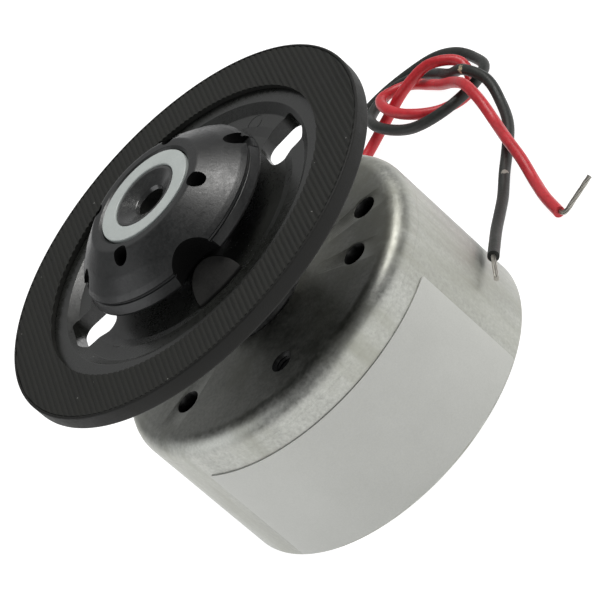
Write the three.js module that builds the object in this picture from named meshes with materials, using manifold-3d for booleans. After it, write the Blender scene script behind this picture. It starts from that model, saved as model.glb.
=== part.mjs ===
// Spindle motor for an optical disc player: a flat round DC motor whose shaft carries a turntable
// with a friction pad and a spring-loaded centring cone. Millimetres, +Z along the shaft towards
// the disc, origin at the centre of the can's rear rim, on which the motor stands.

import * as THREE from 'three';
import { mergeVertices } from 'three/addons/utils/BufferGeometryUtils.js';
import Module from 'manifold-3d';

const wasm = await Module();
wasm.setup();

// ---- Driving dimensions ----

const SEGMENTS = 64; // facets round the can, the turntable and all that nests with them
const SHAFT_SEGMENTS = 32; // facets round the small pieces on the shaft
const RUNNING_GAP = 0.04; // radial clearance of a piece that runs or slides on another
const FITTED_GAP = 0.03; // clearance left between pieces that are pressed or glued together

const CAN_RADIUS = 12.2;
const CAN_LENGTH = 12.3;
const CAN_WALL = 0.8;
const SHOULDER_RADIUS = 1.4;
const COLLAR_RADIUS = 3.4; // the drawn collar round the front bearing
const COLLAR_TOP = 12.9;
const LEAD_NOTCH_WIDTH = 5.4;
const LEAD_NOTCH_HEIGHT = 1.3;
const FRONT_HOLES = [
  { angle: -165, distance: 8.5, radius: 0.8 },
  { angle: -105, distance: 8.5, radius: 0.6 },
  { angle: -45, distance: 8.5, radius: 0.8 },
  { angle: 15, distance: 8.5, radius: 0.8 },
  { angle: 75, distance: 8.5, radius: 0.6 },
  { angle: 135, distance: 8.5, radius: 0.8 },
  { angle: -18, distance: 9.2, radius: 0.8 },
];

const SHAFT_RADIUS = 1.0;
const SHAFT_REAR = 0.9;
const SHAFT_FRONT = 21.6;
const BEARING_RADIUS = 2.0;
const FRONT_BEARING_RADIUS = 2.6;

const CAP_REAR = 1.25; // the cap's rear face, sunk into the can
const CAP_FRONT = 2.4;
const CAP_BOSS_REAR = 0.3;
const TERMINAL_X = 3.2;
const TERMINAL_Y = 7.0;

const CORE_RADIUS = 9.2;
const CORE_REAR = 5.6;
const CORE_FRONT = 9.4;
const COIL_BUILD = 0.85; // how far a winding stands out from the core's ends
const MAGNET_INNER = 9.6;
const MAGNET_SPAN = 150; // degrees of each of the two arcs
const POLE_COUNT = 3;
const COMMUTATOR_RADIUS = 2.1;

const TURNTABLE_RADIUS = 14.95;
const PAD_PLANE = 19.85; // the friction pad's top face, where the disc lies
const PAD_THICKNESS = 0.4;
const PAD_OUTER = 14.72;
const PAD_INNER = 11.55;
const RIM_UNDERSIDE = 18.64;
const WEB_TOP = 18.95;
const WEB_UNDERSIDE = 17.9;
const WELL_RADIUS = 8.45; // the sunk middle of the web, under the cone
const WELL_FLOOR = 18.75;
const WINDOW_INNER = 7.0; // the two see-through windows in the web
const WINDOW_OUTER = 10.15;
const WINDOW_HALF_WIDTH = 1.9;
const WINDOW_CORNER = 0.9;
const WINDOW_TURN = 94; // degrees from the turntable's clock angle to each side
const TURNTABLE_CLOCK = -99.8; // the middle of the wider gap between the windows, in degrees
const LUG_RADIUS = 1.8; // the lug stands on the web, in the cone's pocket
const LUG_HIGH = 20.55; // the top of its slope, towards the shaft
const LUG_LOW = 19.05;
const HUB_UNDERSIDE = 13.2;
const POST_RADIUS = 2.44;
const HUB_TOP = 23.36; // the top of the retaining ring and of the cone's lip

const CONE_BASE_RADIUS = 7.15; // just under the radius of a disc's centre hole
const CONE_BASE = 21.36;
const FLANGE_RADIUS = 7.42;
const FLANGE_UNDERSIDE = 20.4;
const RING_RADIUS = 3.65;
const RING_THICKNESS = 0.4;
const SPRING_RADIUS = 3.75;
const SPRING_WIRE = 0.28;
const SPRING_TURNS = 3;

const CONE_CLOCK = -98; // where the pocket is cut in the cone's edge, in degrees
const POCKET_DISTANCE = 8.28;
const POCKET_RADIUS = 2.02;
const BASE_NOTCH_ANGLES = [-12, 169];

const LABEL_FROM = -151.875;
const LABEL_TO = -50.625;
const LABEL_REAR = 0.25;
const LABEL_FRONT = 9.4;
const LABEL_THICKNESS = 0.1;

const LEAD_DIAMETER = 0.82;
const STRAND_DIAMETER = 0.36;

// The routes of the two leads. Each leaves its terminal, passes the notch in the can's rear rim,
// makes one loose turn on the surface beside the motor and comes forward to its stripped end.
const RED_ROUTE = [
  [3.2, 8.5, 0.7], [2.1, 10.8, 0.6], [0.9, 13.1, 0.6], [1.4, 15.5, 0.5], [2.9, 17.6, 0.5],
  [4.7, 19.4, 0.5], [6.7, 21.0, 0.5], [8.9, 22.3, 0.5], [11.2, 23.4, 0.5], [13.7, 24.3, 0.6],
  [16.1, 24.3, 1.2], [18.4, 23.5, 2.1], [20.7, 22.5, 2.4], [22.2, 20.8, 1.5], [21.1, 18.8, 0.5],
  [18.7, 18.6, 1.2], [16.9, 20.0, 2.2], [16.2, 22.4, 2.6], [16.7, 24.8, 2.3], [18.7, 25.0, 1.3],
  [19.6, 22.6, 1.3], [20.0, 20.2, 1.8], [20.5, 17.7, 2.5], [20.7, 15.2, 3.0], [20.4, 12.7, 2.6],
  [19.8, 10.3, 1.8], [19.3, 7.8, 1.7], [18.8, 5.4, 1.2], [18.1, 3.0, 0.6], [17.6, 0.5, 0.6],
  [17.3, -2.0, 0.5],
];
const BLACK_ROUTE = [
  [-3.2, 8.5, 0.7], [-2.0, 10.9, 0.6], [-1.0, 13.2, 0.6], [-0.6, 15.8, 0.5], [0.2, 18.3, 0.5],
  [1.6, 20.5, 0.5], [3.3, 22.5, 0.5], [5.0, 24.5, 0.5], [6.9, 26.3, 0.5], [9.2, 27.6, 0.5],
  [11.7, 28.4, 0.5], [14.3, 28.7, 0.5], [16.9, 28.6, 0.5], [19.4, 27.7, 0.5], [21.6, 26.3, 0.5],
  [22.8, 24.0, 0.6], [23.2, 21.5, 0.5], [22.9, 18.9, 0.8], [20.9, 17.3, 1.4], [18.4, 17.3, 1.8],
  [16.3, 18.8, 1.9], [15.2, 21.1, 2.0], [14.8, 23.7, 2.0], [15.5, 26.1, 1.4], [17.8, 27.2, 0.9],
  [19.8, 25.6, 0.8], [20.6, 23.2, 1.1], [21.0, 20.7, 1.6], [21.7, 18.2, 2.3], [22.1, 15.7, 1.7],
  [21.4, 13.4, 0.9], [20.4, 11.0, 0.6], [18.9, 8.8, 0.6], [17.4, 6.7, 0.7], [16.0, 4.4, 0.9],
  [14.9, 2.2, 1.5], [13.8, -0.1, 2.2], [12.9, -2.5, 3.0], [12.0, -4.8, 3.7],
];
const RED_STRAND_ROUTE = [[17.29, -2.08, 0.5], [17.5, -2.5, 0.48], [18.7, -2.5, 0.6], [20.4, -2.4, 0.8]];
const BLACK_STRAND_ROUTE = [[11.97, -4.88, 3.72], [11.5, -6.0, 3.8], [10.9, -7.4, 3.9]];

// ---- Shape helpers ----

const radians = (degrees) => (degrees * Math.PI) / 180;

function onCircle(distance, angle) {
  return [distance * Math.cos(radians(angle)), distance * Math.sin(radians(angle))];
}

// A manifold solid of a closed three.js geometry, with its seam and pole vertices merged.
function toSolid(geometry) {
  const bare = geometry.clone();
  bare.deleteAttribute('normal');
  bare.deleteAttribute('uv');
  const merged = mergeVertices(bare, 1e-5);
  const corners = merged.index.array;
  const faces = [];
  for (let i = 0; i < corners.length; i += 3) {
    const [a, b, c] = corners.slice(i, i + 3);
    if (a !== b && b !== c && c !== a) {
      faces.push(a, b, c);
    }
  }
  return new wasm.Manifold(
    new wasm.Mesh({
      numProp: 3,
      vertProperties: Float32Array.from(merged.attributes.position.array),
      triVerts: Uint32Array.from(faces),
    }),
  );
}

function toGeometry(solid) {
  const mesh = solid.getMesh();
  const geometry = new THREE.BufferGeometry();
  geometry.setAttribute('position', new THREE.BufferAttribute(mesh.vertProperties, 3));
  geometry.setIndex(new THREE.BufferAttribute(mesh.triVerts, 1));
  return geometry;
}

function cut(geometry, ...tools) {
  return toGeometry(tools.reduce((left, tool) => left.subtract(toSolid(tool)), toSolid(geometry)));
}

function join(...geometries) {
  return toGeometry(geometries.map(toSolid).reduce((whole, next) => whole.add(next)));
}

// A turned piece. The section's corners are [radius, height], anticlockwise with the axis at left.
function turned(section, segments = SEGMENTS) {
  const points = [...section, section[0]].map(([radius, height]) => new THREE.Vector2(radius, height));
  return new THREE.LatheGeometry(points, segments).rotateX(Math.PI / 2).rotateZ(Math.PI / 2);
}

function ring(inner, outer, rear, front, segments = SEGMENTS) {
  return turned([[inner, rear], [outer, rear], [outer, front], [inner, front]], segments);
}

function disc(radius, rear, front, segments = SEGMENTS) {
  return turned([[0, rear], [radius, rear], [radius, front], [0, front]], segments);
}

// An upright round bar at a distance and an angle from the shaft, to cut a hole or to add.
function post(distance, angle, radius, rear, front, segments = 24) {
  return disc(radius, rear, front, segments).translate(...onCircle(distance, angle), 0);
}

// A box between two heights, centred on a line out from the shaft at an angle.
function radialBox(from, to, width, rear, front, angle) {
  return new THREE.BoxGeometry(to - from, width, front - rear)
    .translate((from + to) / 2, 0, (rear + front) / 2)
    .rotateZ(radians(angle));
}

// Part of a ring between two angles, in facets that match the turned pieces.
function sector(inner, outer, rear, front, fromAngle, toAngle) {
  const steps = Math.max(2, Math.round(((toAngle - fromAngle) * SEGMENTS) / 360));
  const arc = (radius) =>
    Array.from({ length: steps + 1 }, (_, i) => {
      const angle = fromAngle + ((toAngle - fromAngle) * i) / steps;
      return new THREE.Vector2(...onCircle(radius, angle));
    });
  const outline = new THREE.Shape([...arc(outer), ...arc(inner).reverse()]);
  return upright(outline, rear, front);
}

function upright(outline, rear, front) {
  return new THREE.ExtrudeGeometry(outline, {
    depth: front - rear,
    bevelEnabled: false,
  }).translate(0, 0, rear);
}

// Corners of a round fillet in a turned section, from one angle to another about its centre.
function fillet(centreRadius, centreHeight, radius, fromAngle, toAngle, steps) {
  return Array.from({ length: steps + 1 }, (_, i) => {
    const [x, y] = onCircle(radius, fromAngle + ((toAngle - fromAngle) * i) / steps);
    return [centreRadius + x, centreHeight + y];
  });
}

// A round wire of a few sides that follows a curve.
function wire(curve, diameter, steps, sides = 8) {
  const section = new THREE.Shape();
  section.absarc(0, 0, diameter / 2, 0, 2 * Math.PI, false);
  return new THREE.ExtrudeGeometry(section, {
    steps,
    curveSegments: sides / 2,
    bevelEnabled: false,
    extrudePath: curve,
  });
}

function wireThrough(route, diameter, stepLength) {
  const curve = new THREE.CatmullRomCurve3(route.map((point) => new THREE.Vector3(...point)));
  return wire(curve, diameter, Math.round(curve.getLength() / stepLength));
}

// ---- Finishes ----

const finishes = {
  zincSteel: { color: 0xa9aaa4, roughness: 0.42, metalness: 1 },
  sinteredBronze: { color: 0x9a7b52, roughness: 0.5, metalness: 1 },
  polishedSteel: { color: 0xc8c9c8, roughness: 0.2, metalness: 1 },
  siliconSteel: { color: 0x6f7276, roughness: 0.45, metalness: 1 },
  brass: { color: 0xc9a45c, roughness: 0.35, metalness: 1 },
  copper: { color: 0xb8602f, roughness: 0.3, metalness: 1 },
  solder: { color: 0xbfc2c4, roughness: 0.3, metalness: 1 },
  ferrite: { color: 0x2b2a2a, roughness: 0.8, metalness: 0 },
  blackNylon: { color: 0x1d1e1d, roughness: 0.45, metalness: 0 },
  turntableBlack: { color: 0x2a2b2a, roughness: 0.42, metalness: 0 },
  coneBlack: { color: 0x2c2d2d, roughness: 0.38, metalness: 0 },
  padRubber: { color: 0x343432, roughness: 0.85, metalness: 0 },
  paleAcetal: { color: 0xc3c8c6, roughness: 0.5, metalness: 0 },
  labelPaper: { color: 0xbfc0bb, roughness: 0.7, metalness: 0 },
  redVinyl: { color: 0xc01f26, roughness: 0.45, metalness: 0 },
  blackVinyl: { color: 0x2f322f, roughness: 0.5, metalness: 0 },
};

const motor = new THREE.Group();

function add(name, geometry, finish) {
  const mesh = new THREE.Mesh(geometry, new THREE.MeshStandardMaterial(finishes[finish]));
  mesh.name = name;
  motor.add(mesh);
}

// ---- The can, its front bearing and the label ----

function canHousing() {
  const inner = CAN_RADIUS - CAN_WALL;
  const innerFront = CAN_LENGTH - CAN_WALL;
  const innerFillet = SHOULDER_RADIUS - CAN_WALL;
  const bore = FRONT_BEARING_RADIUS + FITTED_GAP;
  const shell = turned([
    [inner, 0],
    [CAN_RADIUS, 0],
    ...fillet(CAN_RADIUS - SHOULDER_RADIUS, CAN_LENGTH - SHOULDER_RADIUS, SHOULDER_RADIUS, 0, 90, 5),
    [COLLAR_RADIUS, CAN_LENGTH],
    [COLLAR_RADIUS, COLLAR_TOP],
    [bore, COLLAR_TOP],
    [bore, innerFront],
    ...fillet(inner - innerFillet, innerFront - innerFillet, innerFillet, 90, 0, 3),
  ]);
  const holes = FRONT_HOLES.map(({ angle, distance, radius }) =>
    post(distance, angle, radius, innerFront - 0.5, CAN_LENGTH + 0.5, 20),
  );
  const notch = new THREE.BoxGeometry(LEAD_NOTCH_WIDTH, 3, 2 * LEAD_NOTCH_HEIGHT).translate(0, CAN_RADIUS, 0);
  const stakes = [0, 60, 120, 180, 240, 300].map((angle) =>
    radialBox(inner - 0.6, inner + 0.3, 1.4, 0.75, CAP_REAR - 0.05, angle),
  );
  return cut(join(shell, ...stakes), notch, ...holes);
}

add('can_housing', canHousing(), 'zincSteel');
add(
  'front_bearing',
  ring(SHAFT_RADIUS + RUNNING_GAP, FRONT_BEARING_RADIUS, 10.2, COLLAR_TOP, SHAFT_SEGMENTS),
  'sinteredBronze',
);
add(
  'label',
  sector(
    CAN_RADIUS + FITTED_GAP,
    CAN_RADIUS + FITTED_GAP + LABEL_THICKNESS,
    LABEL_REAR,
    LABEL_FRONT,
    LABEL_FROM,
    LABEL_TO,
  ),
  'labelPaper',
);

// ---- The rear cap with its bearing, terminals and brushes ----

function rearCap() {
  const rim = CAN_RADIUS - CAN_WALL - RUNNING_GAP;
  const seat = BEARING_RADIUS + FITTED_GAP;
  const body = turned([
    [0, CAP_BOSS_REAR],
    [3.0, CAP_BOSS_REAR],
    [3.2, CAP_BOSS_REAR + 0.2],
    [3.2, CAP_REAR],
    [rim, CAP_REAR],
    [rim, CAP_FRONT],
    [seat, CAP_FRONT],
    [seat, 0.87],
    [1.35, 0.87],
    [1.35, 0.5],
    [0, 0.5],
  ]);
  const slots = [-1, 1].map((side) =>
    new THREE.BoxGeometry(2.0, 0.5, 4).translate(side * TERMINAL_X, TERMINAL_Y + 0.18, CAP_FRONT),
  );
  return cut(body, ...slots);
}

function terminal(side) {
  return new THREE.BoxGeometry(1.8, 0.35, 4.0).translate(side * TERMINAL_X, TERMINAL_Y + 0.18, 2.4);
}

// A leaf that runs from its terminal past the shaft, just clear of the commutator's side.
function brushFinger(side) {
  const near = COMMUTATOR_RADIUS + 0.08;
  const foot = TERMINAL_Y - 0.03;
  const outline = new THREE.Shape(
    [
      [near, -1.6],
      [near + 0.14, -1.6],
      [near + 0.14, foot - 0.15],
      [TERMINAL_X + 0.7, foot - 0.15],
      [TERMINAL_X + 0.7, foot],
      [near, foot],
    ].map(([x, y]) => new THREE.Vector2(side * x, y)),
  );
  return upright(outline, 3.2, 4.2);
}

add('rear_cap', rearCap(), 'blackNylon');
add('thrust_plate', disc(1.3, 0.53, 0.84, SHAFT_SEGMENTS), 'polishedSteel');
add(
  'rear_bearing',
  ring(SHAFT_RADIUS + RUNNING_GAP, BEARING_RADIUS, SHAFT_REAR, CAP_FRONT + 0.2, SHAFT_SEGMENTS),
  'sinteredBronze',
);
for (const [word, side] of [['positive', 1], ['negative', -1]]) {
  add(`terminal_${word}`, terminal(side), 'brass');
  add(`brush_finger_${word}`, brushFinger(side), 'brass');
  const joint = new THREE.SphereGeometry(0.5, 12, 8).scale(1, 0.72, 0.8);
  add(`solder_joint_${word}`, joint.translate(side * TERMINAL_X, TERMINAL_Y + 0.76, 0.75), 'solder');
}

// ---- The field magnets ----

for (const [word, middle] of [['left', 180], ['right', 0]]) {
  const from = middle - MAGNET_SPAN / 2;
  const arc = sector(MAGNET_INNER, CAN_RADIUS - CAN_WALL - 0.06, 2.9, 10.6, from, from + MAGNET_SPAN);
  add(`field_magnet_${word}`, arc, 'ferrite');
}

// ---- The armature on its shaft ----

function shaft() {
  const chamfer = 0.15;
  const section = [
    [0, SHAFT_REAR],
    [SHAFT_RADIUS - chamfer, SHAFT_REAR],
    [SHAFT_RADIUS, SHAFT_REAR + chamfer],
    [SHAFT_RADIUS, SHAFT_FRONT - chamfer],
    [SHAFT_RADIUS - chamfer, SHAFT_FRONT],
    [0, SHAFT_FRONT],
  ];
  return turned(section, SHAFT_SEGMENTS);
}

const poleAngles = Array.from({ length: POLE_COUNT }, (_, i) => 90 + (360 * i) / POLE_COUNT);

function armatureCore() {
  const hub = ring(SHAFT_RADIUS + FITTED_GAP, 2.8, CORE_REAR, CORE_FRONT);
  const poles = poleAngles.flatMap((angle) => [
    radialBox(2, 8.6, 2.2, CORE_REAR, CORE_FRONT, angle),
    sector(8.1, CORE_RADIUS, CORE_REAR, CORE_FRONT, angle - 50, angle + 50),
  ]);
  return join(hub, ...poles);
}

// A winding is a rounded rectangular collar round one arm of the core.
function coil(angle) {
  const collar = new THREE.Shape();
  const halfWidth = 2.3;
  const halfHeight = (CORE_FRONT - CORE_REAR) / 2 + COIL_BUILD;
  const corner = 0.8;
  collar.absarc(halfWidth - corner, halfHeight - corner, corner, 0, Math.PI / 2, false);
  collar.absarc(corner - halfWidth, halfHeight - corner, corner, Math.PI / 2, Math.PI, false);
  collar.absarc(corner - halfWidth, corner - halfHeight, corner, Math.PI, 1.5 * Math.PI, false);
  collar.absarc(halfWidth - corner, corner - halfHeight, corner, 1.5 * Math.PI, 2 * Math.PI, false);
  const armWidth = 1.13;
  const armHeight = (CORE_FRONT - CORE_REAR) / 2 + 0.04;
  const window = [[-1, -1], [1, -1], [1, 1], [-1, 1]].map(
    ([x, y]) => new THREE.Vector2(x * armWidth, y * armHeight),
  );
  collar.holes.push(new THREE.Path(window));
  return new THREE.ExtrudeGeometry(collar, { depth: 3.6, bevelEnabled: false, curveSegments: 4 })
    .rotateX(Math.PI / 2)
    .rotateZ(Math.PI)
    .translate(0, 3.6, (CORE_FRONT + CORE_REAR) / 2)
    .rotateZ(radians(angle - 90));
}

add('shaft', shaft(), 'polishedSteel');
add('armature_core', armatureCore(), 'siliconSteel');
poleAngles.forEach((angle, i) => add(`coil_${i + 1}`, coil(angle), 'copper'));

function commutatorSleeve() {
  const bore = SHAFT_RADIUS + FITTED_GAP;
  const section = [
    [bore, 2.75],
    [1.72, 2.75],
    [1.72, 4.72],
    [COMMUTATOR_RADIUS, 4.72],
    [COMMUTATOR_RADIUS, 5.5],
    [bore, 5.5],
  ];
  return turned(section, SHAFT_SEGMENTS);
}

add('commutator_sleeve', commutatorSleeve(), 'blackNylon');
poleAngles.forEach((angle, i) => {
  const segment = sector(1.75, COMMUTATOR_RADIUS, 2.85, 4.68, angle - 57, angle + 57);
  add(`commutator_segment_${i + 1}`, segment, 'copper');
});
add('varistor_ring', ring(COMMUTATOR_RADIUS + FITTED_GAP, 3.4, 4.75, 5.35, SHAFT_SEGMENTS), 'ferrite');
add('shaft_washer', ring(SHAFT_RADIUS + FITTED_GAP, 2.2, 9.45, 10.1, SHAFT_SEGMENTS), 'paleAcetal');

// ---- The turntable and its friction pad ----

// A rounded oblong that cuts a window in the web, on a line out from the shaft at an angle.
function webWindow(angle) {
  const outline = new THREE.Shape();
  const inner = WINDOW_INNER + WINDOW_CORNER;
  const outer = WINDOW_OUTER - WINDOW_CORNER;
  const side = WINDOW_HALF_WIDTH - WINDOW_CORNER;
  outline.absarc(outer, side, WINDOW_CORNER, 0, Math.PI / 2, false);
  outline.absarc(inner, side, WINDOW_CORNER, Math.PI / 2, Math.PI, false);
  outline.absarc(inner, -side, WINDOW_CORNER, Math.PI, 1.5 * Math.PI, false);
  outline.absarc(outer, -side, WINDOW_CORNER, 1.5 * Math.PI, 2 * Math.PI, false);
  return new THREE.ExtrudeGeometry(outline, { depth: 4, bevelEnabled: false, curveSegments: 6 })
    .translate(0, 0, WEB_UNDERSIDE - 1)
    .rotateZ(radians(angle));
}

// A round lug whose top slopes down and outwards.
function slopedLug() {
  const slope = turned([
    [6.2, WELL_FLOOR - 0.2],
    [WELL_RADIUS - 0.1, WELL_FLOOR - 0.2],
    [WELL_RADIUS - 0.1, LUG_LOW],
    [6.2, LUG_HIGH],
  ]);
  const round = post(POCKET_DISTANCE, CONE_CLOCK, LUG_RADIUS, WELL_FLOOR - 1, LUG_HIGH + 1, 32);
  return toGeometry(toSolid(slope).intersect(toSolid(round)));
}

function turntable() {
  const ledge = PAD_PLANE - PAD_THICKNESS - FITTED_GAP;
  const bore = SHAFT_RADIUS + FITTED_GAP;
  const body = turned([
    [bore, HUB_UNDERSIDE],
    [3.0, HUB_UNDERSIDE],
    [3.2, HUB_UNDERSIDE + 0.2],
    [3.3, WEB_UNDERSIDE - 0.6],
    [4.0, WEB_UNDERSIDE],
    [10.9, WEB_UNDERSIDE],
    [11.3, RIM_UNDERSIDE],
    [TURNTABLE_RADIUS - 0.15, RIM_UNDERSIDE],
    [TURNTABLE_RADIUS, RIM_UNDERSIDE + 0.15],
    [TURNTABLE_RADIUS, PAD_PLANE - 0.12],
    [TURNTABLE_RADIUS - 0.1, PAD_PLANE],
    [PAD_OUTER + FITTED_GAP, PAD_PLANE],
    [PAD_OUTER + FITTED_GAP, ledge],
    [10.5, ledge],
    [9.8, WEB_TOP],
    [WELL_RADIUS, WEB_TOP],
    [WELL_RADIUS - 0.1, WELL_FLOOR],
    [POST_RADIUS, WELL_FLOOR],
    [POST_RADIUS, HUB_TOP - 0.08],
    [2.15, HUB_TOP - 0.08],
    [1.2, HUB_TOP - 0.3],
    [bore, HUB_TOP - 0.5],
  ]);
  const windows = [-WINDOW_TURN, WINDOW_TURN].map((turn) => webWindow(TURNTABLE_CLOCK + turn));
  return cut(join(body, slopedLug()), ...windows);
}

add('turntable', turntable(), 'turntableBlack');
add('friction_pad', ring(PAD_INNER, PAD_OUTER, PAD_PLANE - PAD_THICKNESS, PAD_PLANE), 'padRubber');

// ---- The centring cone, its spring and the ring that keeps it on ----

function centringCone() {
  const sleeve = POST_RADIUS + RUNNING_GAP + 0.02;
  const recess = HUB_TOP - RING_THICKNESS - 0.06;
  const body = turned([
    [sleeve, FLANGE_UNDERSIDE],
    [3.1, FLANGE_UNDERSIDE],
    [3.1, 22.05],
    [4.3, 22.05],
    [6.2, 20.95],
    [6.4, FLANGE_UNDERSIDE],
    [FLANGE_RADIUS - 0.06, FLANGE_UNDERSIDE],
    [FLANGE_RADIUS, FLANGE_UNDERSIDE + 0.08],
    [FLANGE_RADIUS, FLANGE_UNDERSIDE + 0.15],
    [CONE_BASE_RADIUS - 0.02, CONE_BASE - 0.24],
    [CONE_BASE_RADIUS - 0.16, CONE_BASE - 0.2],
    [CONE_BASE_RADIUS - 0.16, CONE_BASE - 0.1],
    [CONE_BASE_RADIUS, CONE_BASE],
    [5.95, 22.38],
    [4.6, HUB_TOP - 0.08],
    [4.42, HUB_TOP],
    [RING_RADIUS + 0.25, HUB_TOP],
    [RING_RADIUS + 0.1, HUB_TOP - 0.15],
    [RING_RADIUS + 0.1, recess],
    [sleeve, recess],
  ]);
  const below = FLANGE_UNDERSIDE - 1;
  const pocket = post(POCKET_DISTANCE, CONE_CLOCK, POCKET_RADIUS, below, HUB_TOP + 1, 40);
  const upperHoles = [-135, -45, 45, 135].map((turn) =>
    post(4.8, CONE_CLOCK + turn, 0.6, 21.5, HUB_TOP + 1, 16),
  );
  const baseNotches = BASE_NOTCH_ANGLES.map((angle) => post(6.9, angle, 0.8, 20.8, HUB_TOP, 16));
  const pocketWall = radialBox(5.7, 6.42, 4, FLANGE_UNDERSIDE, 21.4, CONE_CLOCK);
  return cut(join(body, pocketWall), pocket, ...upperHoles, ...baseNotches);
}

function coneSpring() {
  const low = WELL_FLOOR + SPRING_WIRE / 2 + 0.05;
  const high = 22.05 - SPRING_WIRE / 2 - 0.05;
  const points = [];
  const steps = 16 * SPRING_TURNS;
  for (let i = 0; i <= steps; i += 1) {
    const share = i / steps;
    points.push(
      new THREE.Vector3(...onCircle(SPRING_RADIUS, 360 * SPRING_TURNS * share), low + (high - low) * share),
    );
  }
  return wire(new THREE.CatmullRomCurve3(points), SPRING_WIRE, steps, 6);
}

add('centring_cone', centringCone(), 'coneBlack');
add('cone_spring', coneSpring(), 'polishedSteel');
add(
  'retaining_ring',
  ring(POST_RADIUS + FITTED_GAP, RING_RADIUS, HUB_TOP - RING_THICKNESS, HUB_TOP),
  'paleAcetal',
);

// ---- The leads and their stripped ends ----

const leadStep = 2.2 * LEAD_DIAMETER;
add('red_lead', wireThrough(RED_ROUTE, LEAD_DIAMETER, leadStep), 'redVinyl');
add('black_lead', wireThrough(BLACK_ROUTE, LEAD_DIAMETER, leadStep), 'blackVinyl');
add('red_lead_strands', wireThrough(RED_STRAND_ROUTE, STRAND_DIAMETER, 0.5), 'solder');
add('black_lead_strands', wireThrough(BLACK_STRAND_ROUTE, STRAND_DIAMETER, 1), 'solder');

export default motor;
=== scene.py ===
import math

import bpy
from mathutils import Matrix, Quaternion, Vector, noise


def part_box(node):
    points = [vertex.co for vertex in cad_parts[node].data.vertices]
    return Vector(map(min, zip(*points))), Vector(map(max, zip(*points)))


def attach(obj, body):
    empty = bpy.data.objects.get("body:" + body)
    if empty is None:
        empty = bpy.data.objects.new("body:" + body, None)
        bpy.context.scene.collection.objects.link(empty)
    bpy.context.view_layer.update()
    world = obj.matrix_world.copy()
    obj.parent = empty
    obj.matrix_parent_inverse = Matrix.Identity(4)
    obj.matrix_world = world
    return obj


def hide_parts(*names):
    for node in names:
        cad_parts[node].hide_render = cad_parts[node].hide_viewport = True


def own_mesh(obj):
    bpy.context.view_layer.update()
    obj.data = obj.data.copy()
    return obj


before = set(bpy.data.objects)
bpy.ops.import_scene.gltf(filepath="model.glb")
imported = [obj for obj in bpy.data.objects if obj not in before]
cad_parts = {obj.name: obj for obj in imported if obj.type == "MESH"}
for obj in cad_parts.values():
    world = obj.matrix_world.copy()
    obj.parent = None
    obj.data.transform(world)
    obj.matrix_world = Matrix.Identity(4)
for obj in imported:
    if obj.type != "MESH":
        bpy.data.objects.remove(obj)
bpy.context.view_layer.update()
MM = 0.001  # the frame is in metres, the sizes below in millimetres

# ---------------------------------------------------------------------------
# Studio
# A white card sweep under the motor, an even surround, one soft box high on the right for
# the streaks on the plastic and the zinc, and weak fills from the left, front and back.
# ---------------------------------------------------------------------------


def put_node(tree, kind, sockets=None, **settings):
    """A new node with its settings made, and its sockets given values or links."""
    node = tree.nodes.new(kind)
    for setting, value in settings.items():
        setattr(node, setting, value)
    for socket, value in (sockets or {}).items():
        if isinstance(value, bpy.types.NodeSocket):
            tree.links.new(value, node.inputs[socket])
        else:
            node.inputs[socket].default_value = value
    return node


scene = bpy.context.scene
scene.view_settings.view_transform = "Standard"
surround = bpy.data.worlds.new("surround")
surround.use_nodes = True
surround.node_tree.nodes["Background"].inputs["Color"].default_value = (0.97, 0.985, 1, 1)
surround.node_tree.nodes["Background"].inputs["Strength"].default_value = 0.2
scene.world = surround

camera = bpy.data.objects.new("camera", bpy.data.cameras.new("camera"))
camera.data.sensor_width = 36
camera.data.lens = 214.188
camera.data.clip_start = 0.01
camera.data.clip_end = 5
camera.location = (0, -0.20644649, 0.12080827)
aim = Vector((0.0015423, -0.00092072, 0.01028147)) - camera.location
camera.rotation_mode = "QUATERNION"
camera.rotation_quaternion = aim.to_track_quat("-Z", "Y") @ Quaternion((0, 0, 1), math.radians(-48.66147))
scene.collection.objects.link(camera)
scene.camera = camera

motor_middle = Vector((0, 0, 0.012))


def soft_box(name, towards, distance, size, watts, tint):
    """A square soft box at a distance in a direction from the motor, and facing it."""
    lamp = bpy.data.lights.new(name, "AREA")
    lamp.size = size
    lamp.energy = watts
    lamp.color = tint
    stand = bpy.data.objects.new(name, lamp)
    stand.location = Vector(towards).normalized() * distance + motor_middle
    stand.rotation_mode = "QUATERNION"
    stand.rotation_quaternion = Vector(towards).to_track_quat("Z", "Y")
    scene.collection.objects.link(stand)


soft_box("key_box", (0.60, 0.15, 0.78), 0.42, 0.19, 1.3, (1, 0.99, 0.97))
soft_box("side_card", (-0.95, 0.1, 0.5), 0.5, 0.4, 0.72, (0.98, 0.99, 1))
soft_box("front_card", (0.35, -0.9, 0.12), 0.6, 0.3, 0.5, (1, 1, 0.99))
soft_box("back_card", (0.05, 0.88, 0.47), 0.6, 0.5, 0.2, (1, 1, 1))

card_half = 3
card = bpy.data.meshes.new("white_card")
card_corners = [(x * card_half, y * card_half, 0) for x, y in ((-1, -1), (1, -1), (1, 1), (-1, 1))]
card.from_pydata(card_corners, [], [(0, 1, 2, 3)])
white_card = bpy.data.objects.new("white_card", card)
scene.collection.objects.link(white_card)
card_paint = bpy.data.materials.new("card_paint")
card_paint.use_nodes = True
card_shader = card_paint.node_tree.nodes["Principled BSDF"]
card_shader.inputs["Base Color"].default_value = (0.3, 0.3, 0.3, 1)
card_shader.inputs["Roughness"].default_value = 0.9
card_shader.inputs["Emission Color"].default_value = (1, 1, 1, 1)
card_shader.inputs["Emission Strength"].default_value = 0.95
card.materials.append(card_paint)

# ---------------------------------------------------------------------------
# Can
# The motor's housing is one cup of zinc-plated steel, deep drawn, with a soft shoulder, a
# drawn collar round the bearing and punched holes in its front, two of them tapped.
# ---------------------------------------------------------------------------


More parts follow.
